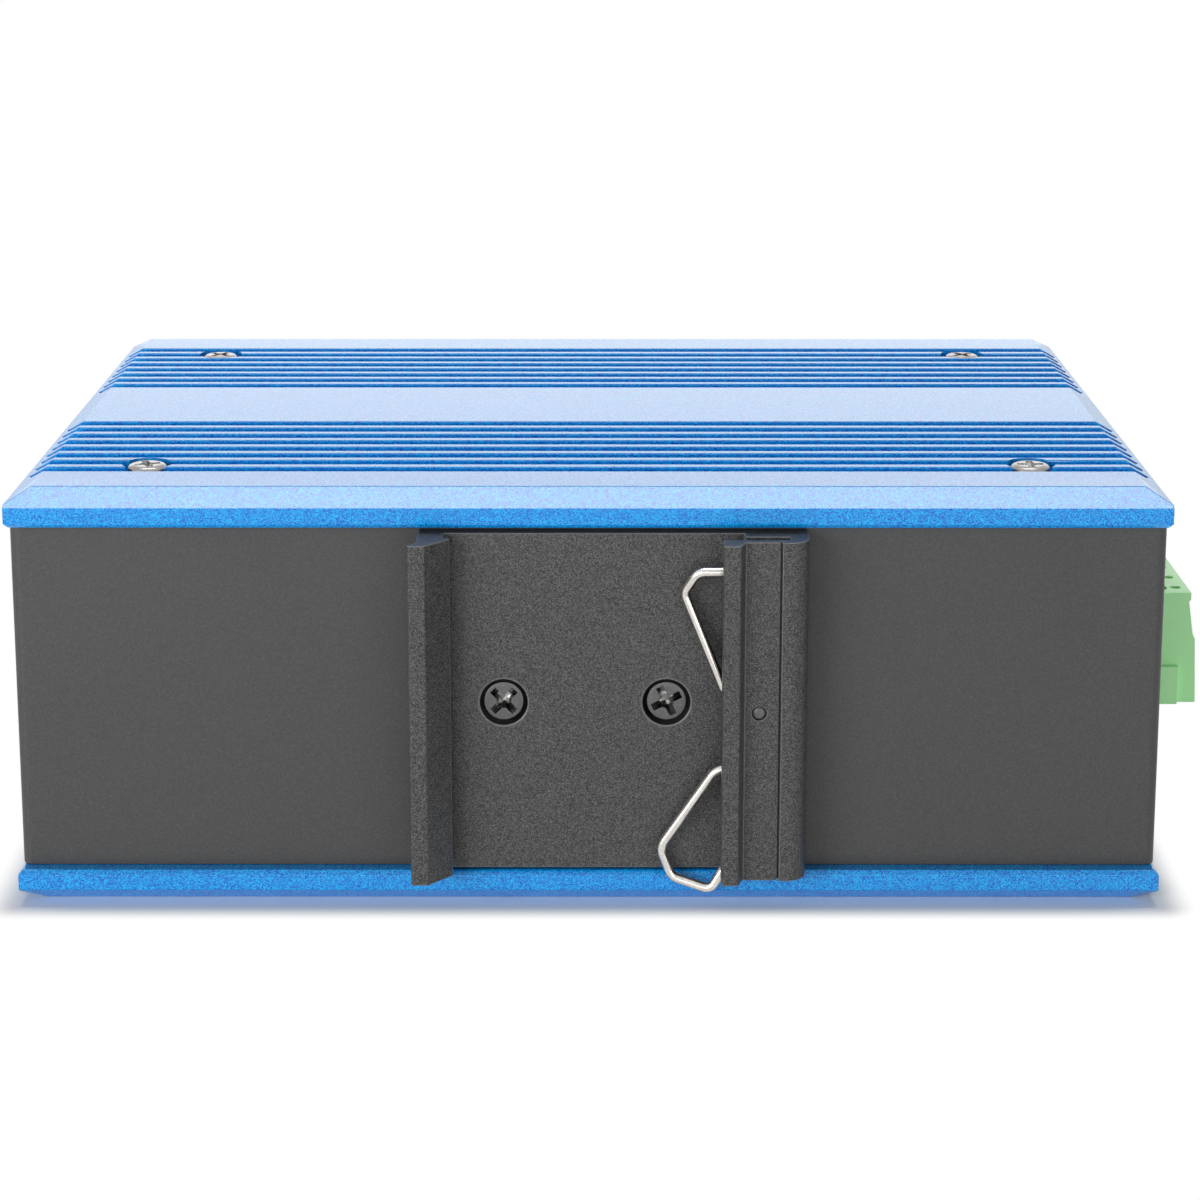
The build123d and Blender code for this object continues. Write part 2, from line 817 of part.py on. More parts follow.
def sfp_cages():
    """Sheet cages open to the front, each with a springy collar at its mouth."""
    cages = []
    for x in cage_places:
        half = cage_width / 2
        back = front_tip_y - cage_length
        cage = block((x - half, x + half), (back, front_tip_y), (board_top, board_top + cage_height))
        rim = collar_width
        collar = block(
            (x - half - rim, x + half + rim),
            (front_tip_y - collar_length, front_tip_y - collar_length / 3),
            (board_top, board_top + cage_height + rim),
        )
        wall = cage_wall
        hollow = block(
            (x - half + wall, x + half - wall),
            (back + wall, front_tip_y + 1),
            (board_top + wall, board_top + cage_height - wall),
        )
        cages.append(cage + collar - hollow)
    return cages


def sfp_connectors():
    """The card connector at the back of each cage, with a slot for the module's card."""
    connectors = []
    for x in cage_places:
        half = cage_connector_width / 2
        back = front_tip_y - cage_length + cage_wall
        front = back + cage_connector_depth
        floor = board_top + cage_wall
        body = block((x - half, x + half), (back, front), (floor, floor + cage_connector_height))
        middle = floor + cage_connector_height / 2
        slot = (middle - cage_card_slot / 2, middle + cage_card_slot / 2)
        side = cage_card_slot
        body -= block((x - half + side, x + half - side), (front - cage_card_slot_depth, front + 1), slot)
        connectors.append(body)
    return connectors


def lamp_places():
    """X and Z of each status lamp in the front panel."""
    columns = [lamp_x + (i - (lamp_rows - 1) / 2) * lamp_row_pitch for i in range(lamp_rows)]
    first = board_top + lamp_holder_margin + lamp_diameter / 2
    return [(x, first + i * lamp_pitch) for x in columns for i in range(lamp_count)]


def led_holder():
    """Moulded block on the board that carries the lamps in blind holes."""
    half = lamp_holder_width / 2
    front = front_wall_y - sheet_thickness - lamp_holder_gap
    top = board_top + 2 * lamp_holder_margin + lamp_diameter + (lamp_count - 1) * lamp_pitch
    holder = block((lamp_x - half, lamp_x + half), (front - lamp_holder_depth, front), (board_top, top))
    for x, z in lamp_places():
        seat = rod(lamp_diameter + 2 * lamp_fit, -lamp_seat, 1)
        holder -= Pos(x, front, z) * Rot(-90, 0, 0) * seat
    return holder


def status_leds():
    """Lamps with domed tips that stand a little out of the front panel."""
    front = front_wall_y - sheet_thickness - lamp_holder_gap
    length = lamp_seat + front_wall_y + lamp_proud - front
    lamp = rod(lamp_diameter, -lamp_seat, length - lamp_seat)
    lamp = chamfer(lamp.edges().group_by(Axis.Z)[-1], lamp_chamfer)
    return [Pos(x, front, z) * Rot(-90, 0, 0) * lamp for x, z in lamp_places()]


def header_leg_x():
    """X of the header pins' legs through the board."""
    return header_mouth_x - header_depth + header_leg_cover + header_pin / 2


def power_header():
    """The fixed half of the terminal: a tray open to +X."""
    low_x = header_mouth_x - header_depth
    high_y = header_length / 2
    low_z = board_top
    high_z = board_top + header_height
    header = block((low_x, header_mouth_x), (terminal_y - high_y, terminal_y + high_y), (low_z, high_z))
    wall = header_wall
    inside_y = (terminal_y - high_y + wall, terminal_y + high_y - wall)
    inside_x = (low_x + header_back, header_mouth_x + 1)
    header -= block(inside_x, inside_y, (low_z + wall, high_z - wall))
    for y in pole_places:
        header -= block(
            (header_leg_x() - header_pin / 2, header_mouth_x),
            (y - header_pin / 2, y + header_pin / 2),
            (pin_z - header_pin / 2, pin_z + header_pin / 2),
        )
        header -= block(
            (header_leg_x() - header_pin / 2, header_leg_x() + header_pin / 2),
            (y - header_pin / 2, y + header_pin / 2),
            (low_z - 1, pin_z + header_pin / 2),
        )
    return header


def power_header_pins():
    """Square pins, bent down through the board."""
    half = header_pin / 2
    leg = header_leg_x()
    root = header_mouth_x - header_depth + header_back
    pins = []
    for y in pole_places:
        side = (y - half, y + half)
        pin = block((leg - half, root + header_pin_length), side, (pin_z - half, pin_z + half))
        pin += block((leg - half, leg + half), side, (board_top - header_leg_length, pin_z + half))
        pins.append(pin)
    return pins


def plug_outline():
    """The plug's outer half seen along its row of poles, from its back plane outwards."""
    low = board_top + plug_rise
    x = plug_back_x
    return outline(
        [
            (x, low),
            (x + plug_foot_reach, low),
            (x + plug_shoulder_reach, plug_top - plug_shoulder_drop),
            (x + plug_step_reach, plug_top - plug_step_drop),
            (x + plug_waist_reach, plug_top - plug_waist_drop),
            (x + plug_top_reach, plug_top - plug_lip_height),
            (x + plug_top_reach, plug_top),
            (x, plug_top),
        ]
    )


def tongue_limits():
    """Low and high of the plug's tongue inside the header."""
    slack = header_wall + plug_clearance
    return (board_top + slack, board_top + header_height - slack)


def power_plug_housing():
    """The green plug: outer half, tongue in the header, end ribs and the cuts of its poles."""
    low_y = terminal_y - plug_length / 2
    high_y = terminal_y + plug_length / 2
    plane = Plane(origin=(0, 0, 0), x_dir=(1, 0, 0), z_dir=(0, -1, 0))
    plug = prism(plug_outline(), plane, -high_y, -low_y)
    rib_z = (board_top + plug_rise, board_top + plug_rise + plug_rib_height)
    rib_y = (low_y - plug_rib_proud, high_y + plug_rib_proud)
    plug += block((plug_back_x, plug_back_x + plug_rib_length), rib_y, rib_z)
    tongue_y = (terminal_y - tongue_width / 2, terminal_y + tongue_width / 2)
    plug += block((plug_back_x - plug_tongue_length, plug_back_x), tongue_y, tongue_limits())
    for y in pole_places:
        plug -= pole_cuts(y)
    return plug


def pole_cuts(y):
    """Everything cut for one pole: wire hole, fork channel, pin socket, driver and test hole."""
    half = plug_cavity_width / 2
    cavity_x = (plug_back_x + plug_cavity_back, plug_back_x + plug_foot_reach + 1)
    cuts = block(cavity_x, (y - half, y + half), (cavity_floor, cavity_ceiling))
    tip = plug_back_x - plug_tongue_length
    fork = fork_width / 2 + fork_clearance
    cuts += block((tip + header_wall, cavity_x[0]), (y - fork, y + fork), fork_channel())
    socket = socket_size / 2
    cuts += block((tip - 1, cavity_x[0]), (y - socket, y + socket), (pin_z - socket, pin_z + socket))
    driver = rod(plug_driver_hole, cavity_ceiling + plug_screw_seat, plug_top + 1)
    cuts += Pos(plug_screw_x, y, 0) * driver
    cuts += Pos(plug_screw_x, y, 0) * rod(clamp_screw_bore, cavity_ceiling - 1, plug_top)
    test = rod(plug_test_hole, plug_top - plug_test_depth, plug_top + 1)
    cuts += Pos(plug_back_x + plug_test_reach, y, 0) * test
    return cuts


def fork_channel():
    """Low and high of the channel that the contact fork lies in."""
    top = pin_z - header_pin / 2
    return (top - fork_clearance - fork_thickness, top)


def clamp_screws():
    """Slotted clamp screws, down through the plug into the cages."""
    seat = cavity_ceiling + plug_screw_seat
    screw = rod(clamp_screw_head, seat, seat + clamp_screw_head_height)
    screw += rod(clamp_screw_shank, cavity_ceiling - 2 * clamp_cage_wall, seat)
    slot = clamp_screw_slot
    screw -= block(
        (-clamp_screw_head, clamp_screw_head),
        (-slot / 2, slot / 2),
        (seat + clamp_screw_head_height - slot, seat + clamp_screw_head_height + 1),
    )
    return [Pos(plug_screw_x, y, 0) * screw for y in pole_places]


def clamp_cages():
    """Metal boxes round the wire, pulled up by the clamp screws."""
    slack = clamp_cage_clearance
    wall = clamp_cage_wall
    half = plug_cavity_width / 2 - slack
    x = (plug_screw_x - clamp_cage_length / 2, plug_screw_x + clamp_cage_length / 2)
    z = (cavity_floor + slack, cavity_ceiling - slack)
    cages = []
    for y in pole_places:
        cage = block(x, (y - half, y + half), z)
        window = block((x[0] - 1, x[1] + 1), (y - half + wall, y + half - wall), (z[0] + wall, z[1] - wall))
        cage -= window
        cage -= Pos(plug_screw_x, y, 0) * rod(clamp_screw_bore, z[1] - 2 * wall, z[1] + 1)
        cages.append(cage)
    return cages


def contact_forks():
    """Flat contact bars from each cage to beside its header pin."""
    low, high = fork_channel()
    tip = plug_back_x - plug_tongue_length + header_wall + fork_clearance
    end = plug_screw_x + clamp_cage_length / 2
    half = fork_width / 2
    return [block((tip, end), (y - half, y + half), (low, high - fork_clearance)) for y in pole_places]


def ground_screw():
    head = rod(ground_screw_head, 0, ground_screw_head_height)
    head = chamfer(head.edges().group_by(Axis.Z)[-1], pan_head_edge)
    head -= cross_recess(ground_screw_head_height, recess_span + 1, recess_width, recess_depth)
    screw = head + rod(ground_screw_shank, -ground_screw_length, 0)
    seat = end_wall_x + ground_washer_thickness
    return Pos(seat, ground_screw_y(), middle_z) * Rot(0, 90, 0) * screw


def ground_washer():
    washer = rod(ground_washer_diameter, 0, ground_washer_thickness) - rod(ground_bore + 0.3, -1, 2)
    return Pos(end_wall_x, ground_screw_y(), middle_z) * Rot(0, 90, 0) * washer


def ground_press_nut():
    nut = press_nut(ground_nut_diameter, ground_nut_height, ground_nut_shank, ground_bore)
    return Pos(end_wall_x - sheet_thickness, ground_screw_y(), middle_z) * Rot(0, -90, 0) * nut


def square_on_board(x, y, side, low, high):
    """A square part centred at a place on the board."""
    half = side / 2
    return block((x - half, x + half), (y - half, y + half), (low, high))


def switch_chip():
    low = board_bottom - switch_chip_height
    return square_on_board(switch_chip_x, switch_chip_y, switch_chip_size, low, board_bottom)


def thermal_pad():
    high = board_bottom - switch_chip_height
    side = switch_chip_size - 2 * thermal_pad_inset
    return square_on_board(switch_chip_x, switch_chip_y, side, high - thermal_pad_thickness, high)


def heat_transfer_block():
    """Metal block that takes the chip's heat to the lower plate."""
    high = board_bottom - switch_chip_height - thermal_pad_thickness
    return square_on_board(switch_chip_x, switch_chip_y, heat_block_size, lower_inner_z, high)


def port_transformers():
    """Moulded transformer modules in a row behind the jack."""
    back = jack_back_y - transformer_gap
    half = port_pitch / 2 - transformer_side_gap / 2
    start = jack_x - (transformer_count - 1) / 2 * port_pitch
    parts = []
    for i in range(transformer_count):
        x = start + i * port_pitch
        y = (back - transformer_length, back)
        parts.append(block((x - half, x + half), y, (board_top, board_top + transformer_height)))
    return parts


def input_capacitors():
    """Upright cans in a row beside the power header."""
    can = rod(capacitor_diameter, board_top, board_top + capacitor_height)
    can = chamfer(can.edges().group_by(Axis.Z)[-1], capacitor_crimp)
    places = [capacitor_first_y + i * capacitor_pitch for i in range(capacitor_count)]
    return [Pos(capacitor_x, y, 0) * can for y in places]


def power_inductors():
    """Two square shielded coils with cut corners."""
    parts = []
    for x in power_row_places[:2]:
        coil = square_on_board(x, inductor_y, inductor_size, board_top, board_top + inductor_height)
        parts.append(chamfer(coil.edges().filter_by(Axis.Z), inductor_corner))
    return parts


def power_transformer_core():
    """Ferrite frame: top bar and two outer legs, round the winding."""
    x = (power_core_x - power_core_length / 2, power_core_x + power_core_length / 2)
    y = (power_core_y - power_core_width / 2, power_core_y + power_core_width / 2)
    core = block(x, y, (board_top, board_top + power_core_height))
    leg = power_core_leg
    window = (board_top - 1, board_top + power_core_height - leg)
    return core - block((x[0] - 1, x[1] + 1), (y[0] + leg, y[1] - leg), window)


def power_transformer_winding():
    """The wound bobbin in the core's window."""
    half = power_core_width / 2 - power_core_leg
    x = (power_core_x - power_core_length / 2 - power_bobbin_inset, power_core_x + power_core_length / 2)
    x = (x[0], x[1] + power_bobbin_inset)
    top = board_top + power_core_height - power_core_leg
    bobbin = block(x, (power_core_y - half, power_core_y + half), (board_top, top))
    flange = power_bobbin_inset
    middle = (board_top + top) / 2
    for end in (x[0], x[1] - 3 * flange):
        groove = (end + flange, end + 2 * flange)
        low = (power_core_y - half - 1, power_core_y + half + 1)
        bobbin -= block(groove, low, (middle + power_winding_height / 2, top + 1))
    return bobbin


def alarm_relay():
    x = (relay_x - relay_width / 2, relay_x + relay_width / 2)
    y = (relay_y - relay_length / 2, relay_y + relay_length / 2)
    relay = block(x, y, (board_top, board_top + relay_height))
    return chamfer(relay.edges().group_by(Axis.Z)[-1], relay_edge)


def power_control_chip():
    high = board_top + control_chip_height
    return square_on_board(control_chip_x, control_chip_y, control_chip_size, board_top, high)


plate = heat_sink_plate()
save("upper_heat_sink_plate", Pos(0, 0, upper_inner_z) * plate)
save("lower_heat_sink_plate", Pos(0, 0, lower_inner_z) * mirror(plate, Plane.XY))
save("upper_plate_screws", plate_screws(True))
save("lower_plate_screws", plate_screws(False))
save("lower_board_pillars", board_pillars(lower_inner_z, board_bottom, False))
save("upper_board_pillars", board_pillars(board_top, upper_inner_z, True))
save("wrap_cover", wrap_cover())
save("front_panel", front_panel())
save("front_panel_screws", front_panel_screws())
save("din_clip", din_clip())
save("din_clip_spring", din_clip_spring())
save("din_clip_spring_pin", spring_pin())
save("din_clip_screws", din_clip_screws())
save("rear_press_nuts", rear_press_nuts())
save("main_board", main_board())
save("jack_modules", jack_modules())
save("jack_shield", jack_shield())
save("jack_contacts", jack_contacts())
save("sfp_cages", sfp_cages())
save("sfp_connectors", sfp_connectors())
save("led_holder", led_holder())
save("status_leds", status_leds())
save("power_header", power_header())
save("power_header_pins", power_header_pins())
save("power_plug_housing", power_plug_housing())
save("power_plug_clamp_screws", clamp_screws())
save("power_plug_clamp_cages", clamp_cages())
save("power_plug_contacts", contact_forks())
save("ground_screw", ground_screw())
save("ground_washer", ground_washer())
save("ground_press_nut", ground_press_nut())
save("switch_chip", switch_chip())
save("thermal_pad", thermal_pad())
save("heat_transfer_block", heat_transfer_block())
save("port_transformers", port_transformers())
save("input_capacitors", input_capacitors())
save("power_inductors", power_inductors())
save("power_transformer_core", power_transformer_core())
save("power_transformer_winding", power_transformer_winding())
save("alarm_relay", alarm_relay())
save("power_control_chip", power_control_chip())
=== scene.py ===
"""Looks of a DIN rail ethernet switch that lies on its side, rear face to the camera."""

import math

import bpy
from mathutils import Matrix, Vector


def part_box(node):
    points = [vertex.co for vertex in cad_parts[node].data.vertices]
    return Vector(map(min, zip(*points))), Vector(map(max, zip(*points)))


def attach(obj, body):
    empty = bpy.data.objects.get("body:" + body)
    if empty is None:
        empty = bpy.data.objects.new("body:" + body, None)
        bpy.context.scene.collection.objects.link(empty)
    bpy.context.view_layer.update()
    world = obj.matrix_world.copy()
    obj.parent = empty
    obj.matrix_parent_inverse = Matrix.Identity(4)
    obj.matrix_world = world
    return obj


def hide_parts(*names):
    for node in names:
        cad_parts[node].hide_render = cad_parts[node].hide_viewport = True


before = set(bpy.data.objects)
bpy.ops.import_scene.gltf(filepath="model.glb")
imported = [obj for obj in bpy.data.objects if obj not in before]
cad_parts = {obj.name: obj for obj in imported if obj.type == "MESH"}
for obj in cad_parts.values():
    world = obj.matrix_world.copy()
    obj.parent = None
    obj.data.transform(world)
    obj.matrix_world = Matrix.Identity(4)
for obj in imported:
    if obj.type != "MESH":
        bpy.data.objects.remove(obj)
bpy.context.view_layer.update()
mm = 0.001


# Lower heat sink plate
# A flat aluminium extrusion, sawn, grooved and bevelled, then bead blasted and dyed blue by
# anodising. It carries the board's pillars and closes the housing below.

same_point = 0.002 * mm
flat_turn = math.radians(0.5)
crisp_turn = math.radians(28)
broken_turn = math.radians(30)
smooth_turn = math.radians(60)


def only(piece):
    """Leaves one piece selected and active."""
    bpy.ops.object.select_all(action="DESELECT")
    piece.select_set(True)
    bpy.context.view_layer.objects.active = piece


def take_shape(node, name, *finishes):
    """A piece with the shape of a machined or moulded part, its flat faces made whole."""
    piece = bpy.data.objects.new(name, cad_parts[node].data.copy())
    bpy.context.scene.collection.objects.link(piece)
    piece.data.materials.clear()
    for finish in finishes:
        piece.data.materials.append(finish)
    only(piece)
    bpy.ops.mesh.customdata_custom_splitnormals_clear()
    bpy.ops.object.mode_set(mode="EDIT")
    bpy.ops.mesh.select_all(action="SELECT")
    bpy.ops.mesh.remove_doubles(threshold=same_point)
    bpy.ops.mesh.dissolve_limited(angle_limit=flat_turn)
    bpy.ops.object.mode_set(mode="OBJECT")
    return piece


def soften_edges(piece, width, edge_highlight_slot=0, keep_from=(), reach=0.0):
    """Breaks the sharp edges of a piece by a small radius, which may take its second finish: a lighter
    colour that paints a highlight on the edges.

    An edge that turns a little less, as at the ends of the plates, only stays crisp in the shading.
    """
    only(piece)
    bpy.ops.object.mode_set(mode="EDIT")
    bpy.ops.mesh.select_mode(type="EDGE")
    bpy.ops.mesh.select_all(action="DESELECT")
    bpy.ops.mesh.edges_select_sharp(sharpness=crisp_turn)
    bpy.ops.mesh.mark_sharp()
    bpy.ops.mesh.select_all(action="DESELECT")
    bpy.ops.mesh.edges_select_sharp(sharpness=broken_turn)
    bpy.ops.mesh.mark_sharp(clear=True)
    bpy.ops.object.mode_set(mode="OBJECT")
    points = piece.data.vertices
    for line in piece.data.edges:
        middle = (points[line.vertices[0]].co + points[line.vertices[1]].co) / 2
        if any(math.hypot(middle.x - x, middle.y - y) < reach for x, y in keep_from):
            line.select = False
    bpy.ops.object.mode_set(mode="EDIT")
    bpy.ops.mesh.bevel(offset=width, segments=2, material=edge_highlight_slot)
    bpy.ops.object.mode_set(mode="OBJECT")
    bpy.ops.object.shade_smooth_by_angle(angle=smooth_turn)
    even = piece.modifiers.new("flat faces", "WEIGHTED_NORMAL")
    even.weight = 100
    even.keep_sharp = True
    bpy.ops.object.modifier_apply(modifier=even.name)
    return piece


def fit(piece, body, slot, *nodes):
    """Puts a finished piece on its body, in the place of the nodes that it stands for."""
    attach(piece, body)
    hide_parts(*nodes)


def fleck_group():
    """Colour broken up by small flecks of a second colour, one for each cell of a fine pattern."""
    group = bpy.data.node_groups.new("flecks", "ShaderNodeTree")
    for name, kind in (
        ("Main", "NodeSocketColor"),
        ("Fleck", "NodeSocketColor"),
        ("Cells per metre", "NodeSocketFloat"),
        ("Sharpness", "NodeSocketFloat"),
        ("Strength", "NodeSocketFloat"),
    ):
        group.interface.new_socket(name, in_out="INPUT", socket_type=kind)
    group.interface.new_socket("Colour", in_out="OUTPUT", socket_type="NodeSocketColor")
    node, link = group.nodes.new, group.links.new
    given = node("NodeGroupInput")
    made = node("NodeGroupOutput")
    place = node("ShaderNodeTexCoord")
    cells = node("ShaderNodeTexVoronoi")
    split = node("ShaderNodeSeparateColor")
    sharpen = node("ShaderNodeMath")
    sharpen.operation = "POWER"
    share = node("ShaderNodeMath")
    share.operation = "MULTIPLY"
    share.use_clamp = True
    mix = node("ShaderNodeMix")
    mix.data_type = "RGBA"
    link(place.outputs["Object"], cells.inputs["Vector"])
    link(given.outputs["Cells per metre"], cells.inputs["Scale"])
    link(cells.outputs["Color"], split.inputs["Color"])
    link(split.outputs["Red"], sharpen.inputs[0])
    link(given.outputs["Sharpness"], sharpen.inputs[1])
    link(sharpen.outputs["Value"], share.inputs[0])
    link(given.outputs["Strength"], share.inputs[1])
    link(share.outputs["Value"], mix.inputs["Factor"])
    link(given.outputs["Main"], mix.inputs["A"])
    link(given.outputs["Fleck"], mix.inputs["B"])
    link(mix.outputs["Result"], made.inputs["Colour"])
    return group


def grain_group():
    """Height of a blasted, sprayed or moulded surface: fine grain on slow waves."""
    group = bpy.data.node_groups.new("surface grain", "ShaderNodeTree")
    for name in ("Grains per metre", "Waves per metre", "Wave share"):
        group.interface.new_socket(name, in_out="INPUT", socket_type="NodeSocketFloat")
    group.interface.new_socket("Height", in_out="OUTPUT", socket_type="NodeSocketFloat")
    node, link = group.nodes.new, group.links.new
    given = node("NodeGroupInput")
    made = node("NodeGroupOutput")
    place = node("ShaderNodeTexCoord")
    fine = node("ShaderNodeTexNoise")
    fine.inputs["Detail"].default_value = 2.0
    slow = node("ShaderNodeTexNoise")
    slow.inputs["Detail"].default_value = 1.0
    mix = node("ShaderNodeMix")
    link(place.outputs["Object"], fine.inputs["Vector"])
    link(place.outputs["Object"], slow.inputs["Vector"])
    link(given.outputs["Grains per metre"], fine.inputs["Scale"])
    link(given.outputs["Waves per metre"], slow.inputs["Scale"])
    link(given.outputs["Wave share"], mix.inputs["Factor"])
    link(fine.outputs["Fac"], mix.inputs["A"])
    link(slow.outputs["Fac"], mix.inputs["B"])
    link(mix.outputs["Result"], made.inputs["Height"])
    return group


def patch_group():
    """A value that drifts slowly between two others, as handling and plating leave a surface."""
    group = bpy.data.node_groups.new("slow patches", "ShaderNodeTree")
    for name in ("Low", "High", "Patches per metre"):
        group.interface.new_socket(name, in_out="INPUT", socket_type="NodeSocketFloat")
    group.interface.new_socket("Value", in_out="OUTPUT", socket_type="NodeSocketFloat")
    node, link = group.nodes.new, group.links.new
    given = node("NodeGroupInput")
    made = node("NodeGroupOutput")
    place = node("ShaderNodeTexCoord")
    cloud = node("ShaderNodeTexNoise")
    cloud.inputs["Detail"].default_value = 3.0
    spread = node("ShaderNodeMapRange")
    spread.inputs["From Min"].default_value = 0.3
    spread.inputs["From Max"].default_value = 0.7
    link(place.outputs["Object"], cloud.inputs["Vector"])
    link(given.outputs["Patches per metre"], cloud.inputs["Scale"])
    link(cloud.outputs["Fac"], spread.inputs["Value"])
    link(given.outputs["Low"], spread.inputs["To Min"])
    link(given.outputs["High"], spread.inputs["To Max"])
    link(spread.outputs["Result"], made.inputs["Value"])
    return group


flecks = fleck_group()
surface_grain = grain_group()
slow_patches = patch_group()


def add_group(material, group, **values):
    """Places a shader group in a material and sets its inputs."""
    node = material.node_tree.nodes.new("ShaderNodeGroup")
    node.node_tree = group
    for name, value in values.items():
        node.inputs[name.replace("_", " ").capitalize()].default_value = value
    return node


def surface(name, main, fleck, fleck_size, sharpness, strength, metal, rough, grain, depth, waves=0.0):
    """A solid material with flecked colour, uneven gloss and a fine grain. Sizes are in metres."""
    material = bpy.data.materials.new(name)
    material.use_nodes = True
    link = material.node_tree.links.new
    shader = material.node_tree.nodes["Principled BSDF"]
    shader.inputs["Metallic"].default_value = metal
    colour = add_group(
        material,
        flecks,
        main=(*main, 1),
        fleck=(*fleck, 1),
        cells_per_metre=1 / fleck_size,
        sharpness=sharpness,
        strength=strength,
    )
    gloss = add_group(material, slow_patches, low=rough[0], high=rough[1], patches_per_metre=60.0)
    height = add_group(
        material, surface_grain, grains_per_metre=1 / grain, waves_per_metre=0.1 / grain, wave_share=waves
    )
    bump = material.node_tree.nodes.new("ShaderNodeBump")
    bump.inputs["Distance"].default_value = depth
    link(colour.outputs["Colour"], shader.inputs["Base Color"])
    link(gloss.outputs["Value"], shader.inputs["Roughness"])
    link(height.outputs["Height"], bump.inputs["Height"])
    link(bump.outputs["Normal"], shader.inputs["Normal"])
    return material


blue_anodised = surface(
    "blue anodised",
    main=(0.001, 0.075, 0.520),
    fleck=(0.010, 0.540, 1.000),
    fleck_size=0.11 * mm,
    sharpness=1.3,
    strength=1.0,
    metal=0.0,
    rough=(0.52, 0.62),
    grain=0.13 * mm,
    depth=0.008 * mm,
)
anodised_shader = blue_anodised.node_tree.nodes["Principled BSDF"]
anodised_shader.inputs["Specular IOR Level"].default_value = 0.0
anodised_shader.inputs["Coat Weight"].default_value = 1.0
anodised_shader.inputs["Coat Roughness"].default_value = 0.20
anodised_shader.inputs["Coat IOR"].default_value = 1.5

plate_edge = 0.12 * mm
well_reach = 3.5 * mm
pan_head_width = 5.2 * mm
lower_screws_low, lower_screws_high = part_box("lower_plate_screws")
screw_side = (lower_screws_high.x - lower_screws_low.x - pan_head_width) / 2
screw_back = (lower_screws_high.y - lower_screws_low.y - pan_head_width) / 2
screw_wells = [(x * screw_side, y * screw_back) for x in (-1, 1) for y in (-1, 1)]
lower_plate = take_shape("lower_heat_sink_plate", "lower_plate", blue_anodised)
soften_edges(lower_plate, plate_edge, keep_from=screw_wells, reach=well_reach)
fit(lower_plate, "housing", "blue_anodised_plate", "lower_heat_sink_plate")


# Lower plate screws
# Nickel plated M3 pan head screws with a cross recess. Each sits in a counterbore of the plate and
# holds it to a pillar.

facing = 0.9
wing_taper = 0.45
wing_stands_out = 0.1 * mm
cone_stands_out = 0.02 * mm
shank_chamfer = 0.3 * mm
screw_smooth_turn = math.radians(32)


def cut_away(piece, cutter):
    """Cuts one solid out of another."""
    only(piece)
    cut = piece.modifiers.new("cut", "BOOLEAN")
    cut.object = cutter
    cut.solver = "EXACT"
    cut.material_mode = "TRANSFER"
    bpy.ops.object.modifier_apply(modifier=cut.name)
    bpy.data.objects.remove(cutter)


def pick_faces(piece, chosen):
    """Selects the faces whose normal passes a test, in edit mode."""
    bpy.ops.object.mode_set(mode="EDIT")
    bpy.ops.mesh.select_mode(type="FACE")
    bpy.ops.mesh.select_all(action="DESELECT")
    bpy.ops.object.mode_set(mode="OBJECT")
    for face in piece.data.polygons:
        face.select = chosen(face.normal)
    bpy.ops.object.mode_set(mode="EDIT")


def faces_down(normal):
    return normal.z < -facing


def faces_up(normal):
    return normal.z > facing


def cross_wing(top, span, width, depth, turn):
    """One wing of a cross screwdriver's tip, narrower at its bottom."""
    bpy.ops.object.select_all(action="DESELECT")
    bpy.ops.mesh.primitive_cube_add(size=1, location=(0, 0, top - depth / 2 + wing_stands_out / 2))
    wing = bpy.context.object
    wing.scale = (span, width, depth + wing_stands_out)
    wing.rotation_euler = (0, 0, turn)
    bpy.ops.object.transform_apply(location=True, rotation=True, scale=True)
    pick_faces(wing, faces_down)
    bpy.ops.transform.resize(value=(wing_taper, wing_taper, 1))
    bpy.ops.object.mode_set(mode="OBJECT")
    return wing


def cut_cross(piece, top, span, width, depth, finish):
    """The cross recess of a screw: two tapered wings and the cone between them."""
    bpy.ops.object.select_all(action="DESELECT")
    bpy.ops.mesh.primitive_cone_add(
        vertices=24,
        radius1=0.35 * width,
        radius2=0.95 * width,
        depth=depth,
        location=(0, 0, top - depth / 2 + cone_stands_out),
    )
    cutters = [bpy.context.object, cross_wing(top, span, width, depth, 0)]
    cutters.append(cross_wing(top, span, width, depth, math.pi / 2))
    for cutter in cutters:
        cutter.data.materials.append(finish)
        cut_away(piece, cutter)


def pan_screw(head_diameter, head_height, shank_diameter, shank_length, finish, recess_finish):
    """A pan head screw, its head standing on the origin: the rim is rounded over, then cut."""
    bpy.ops.object.select_all(action="DESELECT")
    bpy.ops.mesh.primitive_cylinder_add(
        vertices=48, radius=head_diameter / 2, depth=head_height, location=(0, 0, head_height / 2)
    )
    screw = bpy.context.object
    screw.data.materials.append(finish)
    bpy.ops.object.transform_apply(location=True)
    pick_faces(screw, faces_up)
    bpy.ops.mesh.bevel(offset=0.42 * head_height, segments=5, profile=0.55)
    pick_faces(screw, faces_down)
    bpy.ops.mesh.inset(thickness=(head_diameter - shank_diameter) / 2)
    bpy.ops.mesh.extrude_region_move(TRANSFORM_OT_translate={"value": (0, 0, -shank_length)})
    bpy.ops.mesh.bevel(offset=shank_chamfer, segments=1)
    bpy.ops.object.mode_set(mode="OBJECT")
    span, width, depth = 0.68 * head_diameter, 0.18 * head_diameter, 0.62 * head_height
    cut_cross(screw, head_height, span, width, depth, recess_finish)
    only(screw)
    bpy.ops.object.shade_smooth_by_angle(angle=screw_smooth_turn)
    return screw


